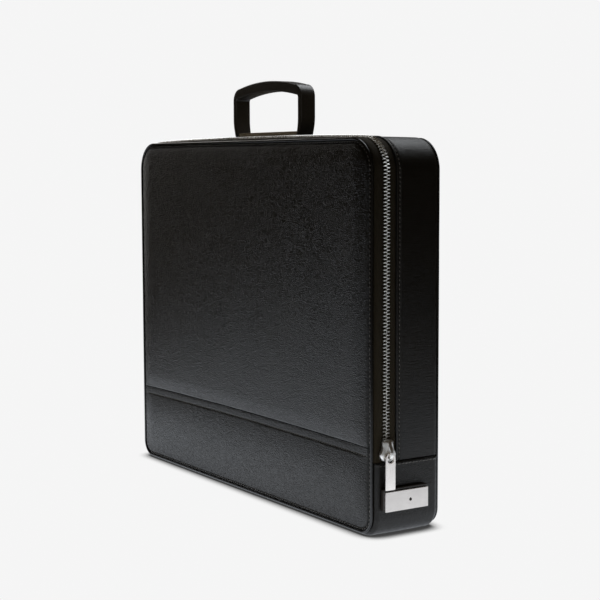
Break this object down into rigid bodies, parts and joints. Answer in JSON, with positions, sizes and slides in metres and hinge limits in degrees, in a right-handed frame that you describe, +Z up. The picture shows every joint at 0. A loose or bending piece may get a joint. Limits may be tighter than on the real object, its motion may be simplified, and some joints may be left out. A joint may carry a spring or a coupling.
{
  "type": "briefcase",
  "caption": "Slim hard-sided black leather briefcase standing on its base, with a zip over the top, a fixed arched handle, a zip pull and a side lock.",
  "frame": {"origin": "centre of the bottom face, on the floor that the case stands on: x at the middle of the length, y half way between the two piping planes", "axes": "+X along the case towards the zip slider and the lock, +Y towards the back face, +Z up"},
  "size_m": [0.4709, 0.082, 0.4253],
  "materials": {
    "panel_leather": "satin fine grain",
    "gusset_leather": "satin fine grain",
    "piping_leather": "polished",
    "handle_leather": "smooth satin",
    "zip_tape": "woven matt",
    "zip_metal": "polished nickel",
    "satin_metal": "satin",
    "lock_black": "satin black",
    "handle_metal": "satin taupe"
  },
  "bodies": {
    "case": {"front_panel": "panel_leather", "front_base_panel": "panel_leather", "back_panel": "panel_leather", "back_base_panel": "panel_leather", "gusset": "gusset_leather", "base_gusset": "gusset_leather", "front_piping": "piping_leather", "rear_piping": "piping_leather", "zip_tape_front_right": "zip_tape", "zip_tape_front_right_corner": "zip_tape", "zip_tape_front_top": "zip_tape", "zip_tape_front_left_corner": "zip_tape", "zip_tape_front_left": "zip_tape", "zip_tape_rear_right": "zip_tape", "zip_tape_rear_right_corner": "zip_tape", "zip_tape_rear_top": "zip_tape", "zip_tape_rear_left_corner": "zip_tape", "zip_tape_rear_left": "zip_tape", "zip_teeth": "zip_metal", "zip_slider": "zip_metal", "lock_plate": "satin_metal", "lock_block": "lock_black", "handle": "handle_leather", "handle_base": "handle_metal"},
    "pull": {"zip_pull": "satin_metal"}
  },
  "joints": [
    {"name": "pull_hinge", "type": "hinge", "parent": "case", "child": "pull", "pos_m": [0.23658, -0.0236, 0.07846], "axis": [0, -1, 0], "range_deg": [0, 150]}
  ]
}
